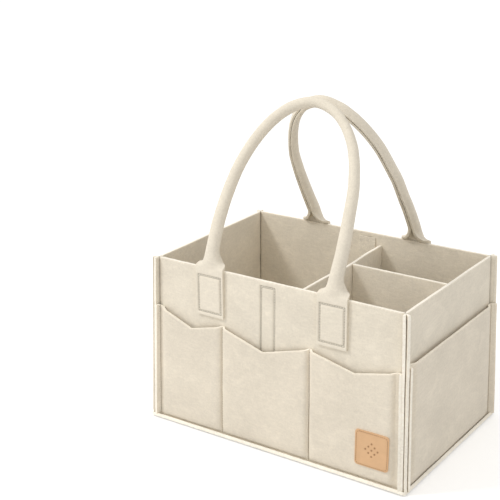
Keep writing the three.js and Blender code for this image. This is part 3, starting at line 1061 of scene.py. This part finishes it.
def make_tape(name, body, face, backing, lean=0.0):
    """backing is the thickness of the woven tape, and lean how far its foot follows the wall outwards."""
    low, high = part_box(name)
    size, middle = high - low, (high + low) / 2
    outer = 1 if middle.y > 0 else -1
    tape = cut_sheet(name + "_weave", size.x, size.z, tape_cell)
    settle(tape, turn=(math.pi / 2, 0, 0), place=middle)
    for corner in tape.data.vertices:
        corner.co.y += outer * lean * (1 - corner.co.z / wall_top)
    tape.data.materials.append(face)
    tape.data.materials.append(face)
    thicken(tape, backing, softening=0.0002, fine=0.0002)
    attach(tape, body)
    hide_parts(name)
    return tape, low, high, outer


loop_tapes = {}
for end in ("front", "back"):
    lean = foot_flare["long"][1]
    loop_tapes[end] = make_tape(end + "_loop_tape", "basket", tape_face, loop_backing, lean)[0]
    low, high, outer = make_tape(
        end + "_hook_tape", "divider_insert", weave_face, hook_backing,
    )[1:]
    deselect_all()
    bpy.ops.mesh.primitive_cylinder_add(
        vertices=4, radius=hook_thick, depth=hook_height, end_fill_type="NGON",
    )
    hook = bpy.context.object
    settle(hook, place=(0, 0, hook_height / 2))
    open_for_edit(hook)
    pick(hook, "faces", lambda at: at.z > hook_height - 1e-6)
    push = hook_thick * hook_push_share
    for bend in range(2):
        bpy.ops.mesh.extrude_region_move(TRANSFORM_OT_translate={"value": (push, 0, -push / 3)})
    close_edit()
    hook_points = [corner.co.copy() for corner in hook.data.vertices]
    hook_faces = [list(face.vertices) for face in hook.data.polygons]
    bpy.data.objects.remove(hook)
    points, faces = [], []
    middle_y = (low.y + high.y) / 2
    across = int((high.x - low.x) / hook_pitch) - 1
    upward = int((high.z - low.z) / hook_pitch) - 1
    for column in range(across):
        for row in range(upward):
            root = Vector((low.x + (column + 1) * hook_pitch, middle_y, low.z + (row + 1) * hook_pitch))
            first = len(points)
            points += [root + Vector((p.x, outer * p.z * 0.5, p.y)) for p in hook_points]
            faces += [[first + corner for corner in face] for face in hook_faces]
    hooks_mesh = bpy.data.meshes.new(end + "_tape_hooks")
    hooks_mesh.from_pydata(points, [], faces)
    hooks = bpy.data.objects.new(end + "_tape_hooks", hooks_mesh)
    bpy.context.collection.objects.link(hooks)
    open_for_edit(hooks)
    bpy.ops.mesh.select_all(action="SELECT")
    bpy.ops.mesh.normals_make_consistent(inside=False)
    close_edit()
    hooks.data.materials.append(weave_face)
    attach(hooks, "divider_insert")

# The leather patch: a square of tan leather with round corners, sewn on the front right pocket, with
# a lozenge of nine dots pressed into its middle.
patch_shade = (0.745, 0.475, 0.27)
stamp_shade = (0.36, 0.19, 0.09)
patch_cell = 0.0007
patch_corner = 0.004
patch_shift = Vector((0.003, 0, 0.001))
dot_radius = 0.0016
dot_pitch = 0.0062
stamp_depth = 0.00045
dot_edge = 0.0007
patch_clear = 0.0001
patch_low, patch_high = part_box("leather_patch")
patch_size = patch_high - patch_low
patch_middle = (patch_high + patch_low) / 2 + patch_shift


def surface_of(*pieces):
    corners, triangles = [], []
    for piece in pieces:
        piece.data.calc_loop_triangles()
        first = len(corners)
        corners += [corner.co.copy() for corner in piece.data.vertices]
        triangles += [[first + index for index in tri.vertices] for tri in piece.data.loop_triangles]
    return BVHTree.FromPolygons(corners, triangles)


def stamp_at(x, z):
    """How deep the stamp has pressed the leather, from 0 to 1; x and z from the patch's middle."""
    u, v = (x + z) / dot_pitch / math.sqrt(2), (x - z) / dot_pitch / math.sqrt(2)
    near_u, near_v = max(-1, min(1, round(u))), max(-1, min(1, round(v)))
    from_dot = math.hypot(u - near_u, v - near_v) * dot_pitch
    return ease((dot_radius - from_dot) / dot_edge)


leather = bpy.data.materials.new("tan_leather")
leather.use_nodes = True
nodes, links = leather.node_tree.nodes, leather.node_tree.links
shader = nodes["Principled BSDF"]
shader.inputs["Roughness"].default_value = 0.55
shader.inputs["Specular IOR Level"].default_value = 0.3
where = nodes.new("ShaderNodeTexCoord")
grain = nodes.new("ShaderNodeTexVoronoi")
grain.inputs["Scale"].default_value = 900
links.new(where.outputs["Object"], grain.inputs["Vector"])
blotch = nodes.new("ShaderNodeTexNoise")
blotch.inputs["Scale"].default_value = 70
blotch.inputs["Detail"].default_value = 5
links.new(where.outputs["Object"], blotch.inputs["Vector"])
tan_ramp = nodes.new("ShaderNodeMix")
tan_ramp.data_type = "RGBA"
tan_ramp.inputs["A"].default_value = (*[part * 0.88 for part in patch_shade], 1)
tan_ramp.inputs["B"].default_value = (*[min(1, part * 1.1) for part in patch_shade], 1)
links.new(blotch.outputs["Fac"], tan_ramp.inputs["Factor"])
stamp_note = nodes.new("ShaderNodeAttribute")
stamp_note.attribute_name = "stamp"
stamped = nodes.new("ShaderNodeMix")
stamped.data_type = "RGBA"
links.new(stamp_note.outputs["Fac"], stamped.inputs["Factor"])
links.new(tan_ramp.outputs["Result"], stamped.inputs["A"])
stamped.inputs["B"].default_value = (*stamp_shade, 1)
links.new(stamped.outputs["Result"], shader.inputs["Base Color"])
leather_bump = nodes.new("ShaderNodeBump")
leather_bump.inputs["Strength"].default_value = 0.25
leather_bump.inputs["Distance"].default_value = 0.0002
links.new(grain.outputs["Distance"], leather_bump.inputs["Height"])
links.new(leather_bump.outputs["Normal"], shader.inputs["Normal"])

patch = cut_sheet("tan_leather_patch", patch_size.x, patch_size.z, patch_cell)
round_corners(patch, patch_size.x, patch_size.z, patch_corner)
settle(patch, turn=(math.pi / 2, 0, 0), place=patch_middle)
felt_under_patch = surface_of(pockets["front"])
for corner in patch.data.vertices:
    x, z = corner.co.x - patch_middle.x, corner.co.z - patch_middle.z
    hit = felt_under_patch.ray_cast(Vector((corner.co.x, -1, corner.co.z)), Vector((0, 1, 0)))[0]
    corner.co.y = hit.y - patch_size.y / 2 - patch_clear + stamp_at(x, z) * stamp_depth
solidify = patch.modifiers.new("thickness", "SOLIDIFY")
solidify.thickness = patch_size.y
solidify.offset = 0
apply_all(patch)
stamp = patch.data.attributes.new("stamp", "FLOAT", "POINT")
for index, corner in enumerate(patch.data.vertices):
    stamp.data[index].value = stamp_at(corner.co.x - patch_middle.x, corner.co.z - patch_middle.z)
work_on(patch)
bpy.ops.object.shade_smooth_by_angle(angle=math.radians(40))
patch.data.materials.append(leather)
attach(patch, "basket")
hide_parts("leather_patch")

# The stitching: rows of lockstitch in cream thread, and in tan round the patch. One stitch is a short
# length of thread whose ends dive into the felt, and each row sets copies of it on the felt's surface.
thread_shade = (0.90, 0.85, 0.74)
tan_thread_shade = (0.50, 0.30, 0.15)
thread_radius = 0.00055
stitch_length = 0.0025
stitch_pitch = 0.0036
stitch_dive = 0.0009
stitch_sides = 6
stitch_cut_shares = (-0.36, -0.2, 0.2, 0.36)
dive_from_share = 0.35
seek_past = 0.02
seam_row_foot, seam_row_top = 0.002, 0.001

deselect_all()
bpy.ops.mesh.primitive_cylinder_add(
    vertices=stitch_sides, radius=thread_radius, depth=stitch_length, end_fill_type="NGON",
)
stitch = bpy.context.object
settle(stitch, turn=(0, math.pi / 2, 0))
open_for_edit(stitch)
for share in stitch_cut_shares:
    bpy.ops.mesh.select_all(action="SELECT")
    bpy.ops.mesh.bisect(plane_co=(share * stitch_length, 0, 0), plane_no=(1, 0, 0))
close_edit()
for corner in stitch.data.vertices:
    out = abs(corner.co.x) / stitch_length * 2
    corner.co.z -= stitch_dive * max(0, out - dive_from_share) ** 2
stitch_points = [corner.co.copy() for corner in stitch.data.vertices]
stitch_faces = [list(face.vertices) for face in stitch.data.polygons]
bpy.data.objects.remove(stitch)


def thread_finish(name, shade):
    finish = bpy.data.materials.new(name)
    finish.use_nodes = True
    nodes, links = finish.node_tree.nodes, finish.node_tree.links
    shader = nodes["Principled BSDF"]
    shader.inputs["Roughness"].default_value = 0.6
    shader.inputs["Sheen Weight"].default_value = 0.1
    where = nodes.new("ShaderNodeTexCoord")
    twist = nodes.new("ShaderNodeTexWave")
    twist.inputs["Scale"].default_value = 700
    twist.inputs["Distortion"].default_value = 1
    links.new(where.outputs["Object"], twist.inputs["Vector"])
    shades = nodes.new("ShaderNodeMix")
    shades.data_type = "RGBA"
    shades.inputs["A"].default_value = (*[part * 0.86 for part in shade], 1)
    shades.inputs["B"].default_value = (*shade, 1)
    links.new(twist.outputs["Fac"], shades.inputs["Factor"])
    links.new(shades.outputs["Result"], shader.inputs["Base Color"])
    return finish


thread = thread_finish("cream_thread", thread_shade)
tan_thread = thread_finish("tan_thread", tan_thread_shade)


def sew(name, felt, rows, facing, body, finish=thread, pitch=stitch_pitch, scale=1.0, clear=0.03,
        rise=0.6 * thread_radius):
    """Rows of stitches on a felt surface. Each row is a list of corners, facing points out of the felt,
    clear is how far off it each stitch is dropped from, and rise how far its middle stays above it."""
    points, faces = [], []
    facing = Vector(facing)
    for row in rows:
        row = [Vector(corner) for corner in row]
        for start, end in zip(row, row[1:]):
            count = max(1, round((end - start).length / pitch))
            for i in range(count):
                place = start + (end - start) * (i + 0.5) / count
                spot, normal, _, _ = felt.ray_cast(place + facing * clear, -facing, clear + seek_past)
                if spot is None:
                    continue
                run = (end - start).normalized()
                run = (run - normal * run.dot(normal)).normalized()
                side = normal.cross(run)
                first = len(points)
                for p in stitch_points:
                    lift = p.z * scale + rise
                    points.append(spot + run * p.x * scale + side * p.y * scale + normal * lift)
                faces += [[first + corner for corner in face] for face in stitch_faces]
    sewn_mesh = bpy.data.meshes.new(name)
    sewn_mesh.from_pydata(points, [], faces)
    sewn = bpy.data.objects.new(name, sewn_mesh)
    bpy.context.collection.objects.link(sewn)
    work_on(sewn)
    bpy.ops.object.shade_smooth()
    sewn.data.materials.append(finish)
    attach(sewn, body)


for side, strap in straps.items():
    facing = -1 if side == "front" else 1
    tab_surface = surface_of(sleeves[side])
    boxes = []
    for way in (-1, 1):
        middle_x = -facing * strap.shift + way * strap.span / 2
        half = strap_width / 2 - tab_inset
        low, high = (wall_top - tab_drop + row for row in tab_rows)
        y = facing * fold_offset
        boxes.append([
            (middle_x - half, y, high), (middle_x - half, y, low), (middle_x + half, y, low),
            (middle_x + half, y, high), (middle_x - half, y, high),
        ])
    sew(side + "_tab_stitching", tab_surface, boxes, (0, facing, 0), "basket")

for side, columns in (("front", front_tape_columns), ("back", back_tape_columns)):
    facing = -1 if side == "front" else 1
    wall_surface = surface_of(walls[side])
    y = facing * (wall_reach["long"] + wall_felt)
    left, right = columns if side == "front" else (-columns[1], -columns[0])
    low, high = tape_levels
    box = [(left, y, low), (left, y, high), (right, y, high), (right, y, low), (left, y, low)]
    sew(side + "_wall_stitching", wall_surface, [box], (0, facing, 0), "basket")
    sew(
        side + "_tape_stitching", surface_of(loop_tapes[side]), [box], (0, -facing, 0), "basket",
        scale=0.6, rise=-0.4 * thread_radius,
    )
    pocket_surface = surface_of(pockets[side])
    foot, top = wall_foot + seam_row_foot, mouth_seam - seam_row_top
    seams = [[(-facing * seam, y, foot), (-facing * seam, y, top)] for seam in long_seams]
    sew(side + "_pocket_stitching", pocket_surface, seams, (0, facing, 0), "basket")

lip_row = 0.0042
lip_start = 0.0045
lip_row_foot, lip_row_top = 0.008, 0.237
for side, wall in walls.items():
    kind = "long" if side in ("front", "back") else "short"
    lengthwise, outward = foot_flare[kind]
    turned = Matrix.Rotation(math.radians(wall_turns[side]), 3, "Z")
    x, y = wall_run[kind] - lip_start, -wall_reach[kind] - wall_felt - lip_row
    for way, end in ((1, "right"), (-1, "left")):
        foot = turned @ Vector((way * (x + lengthwise), y - outward, lip_row_foot))
        top = turned @ Vector((way * x, y, lip_row_top))
        both_felts = surface_of(wall, pockets[side])
        name = side + "_wall_" + end + "_seam_stitching"
        inward = turned @ Vector((-way, 0, 0))
        sew(name, both_felts, [[foot, top]], inward, "basket", clear=0)

hem_x, hem_y = base_rows[0], base_rows[1]
hem = [(-hem_x, -hem_y, 0), (hem_x, -hem_y, 0), (hem_x, hem_y, 0), (-hem_x, hem_y, 0), (-hem_x, -hem_y, 0)]
sew("base_hem_stitching", surface_of(base), [hem], (0, 0, 1), "basket")

patch_row_inset = 0.0017
patch_row_ease = 0.0012
half_x, half_z = patch_size.x / 2 - patch_row_inset, patch_size.z / 2 - patch_row_inset
round_off = patch_corner - patch_row_ease
px, pz = patch_middle.x, patch_middle.z
patch_row = [
    (px + x, patch_low.y, pz + z) for x, z in (
        (-half_x, half_z - round_off), (-half_x, -half_z + round_off), (-half_x + round_off, -half_z),
        (half_x - round_off, -half_z), (half_x, -half_z + round_off), (half_x, half_z - round_off),
        (half_x - round_off, half_z), (-half_x + round_off, half_z), (-half_x, half_z - round_off),
    )
]
sew(
    "patch_stitching", surface_of(patch), [patch_row], (0, -1, 0), "basket",
    finish=tan_thread, pitch=0.0028, scale=0.7,
)
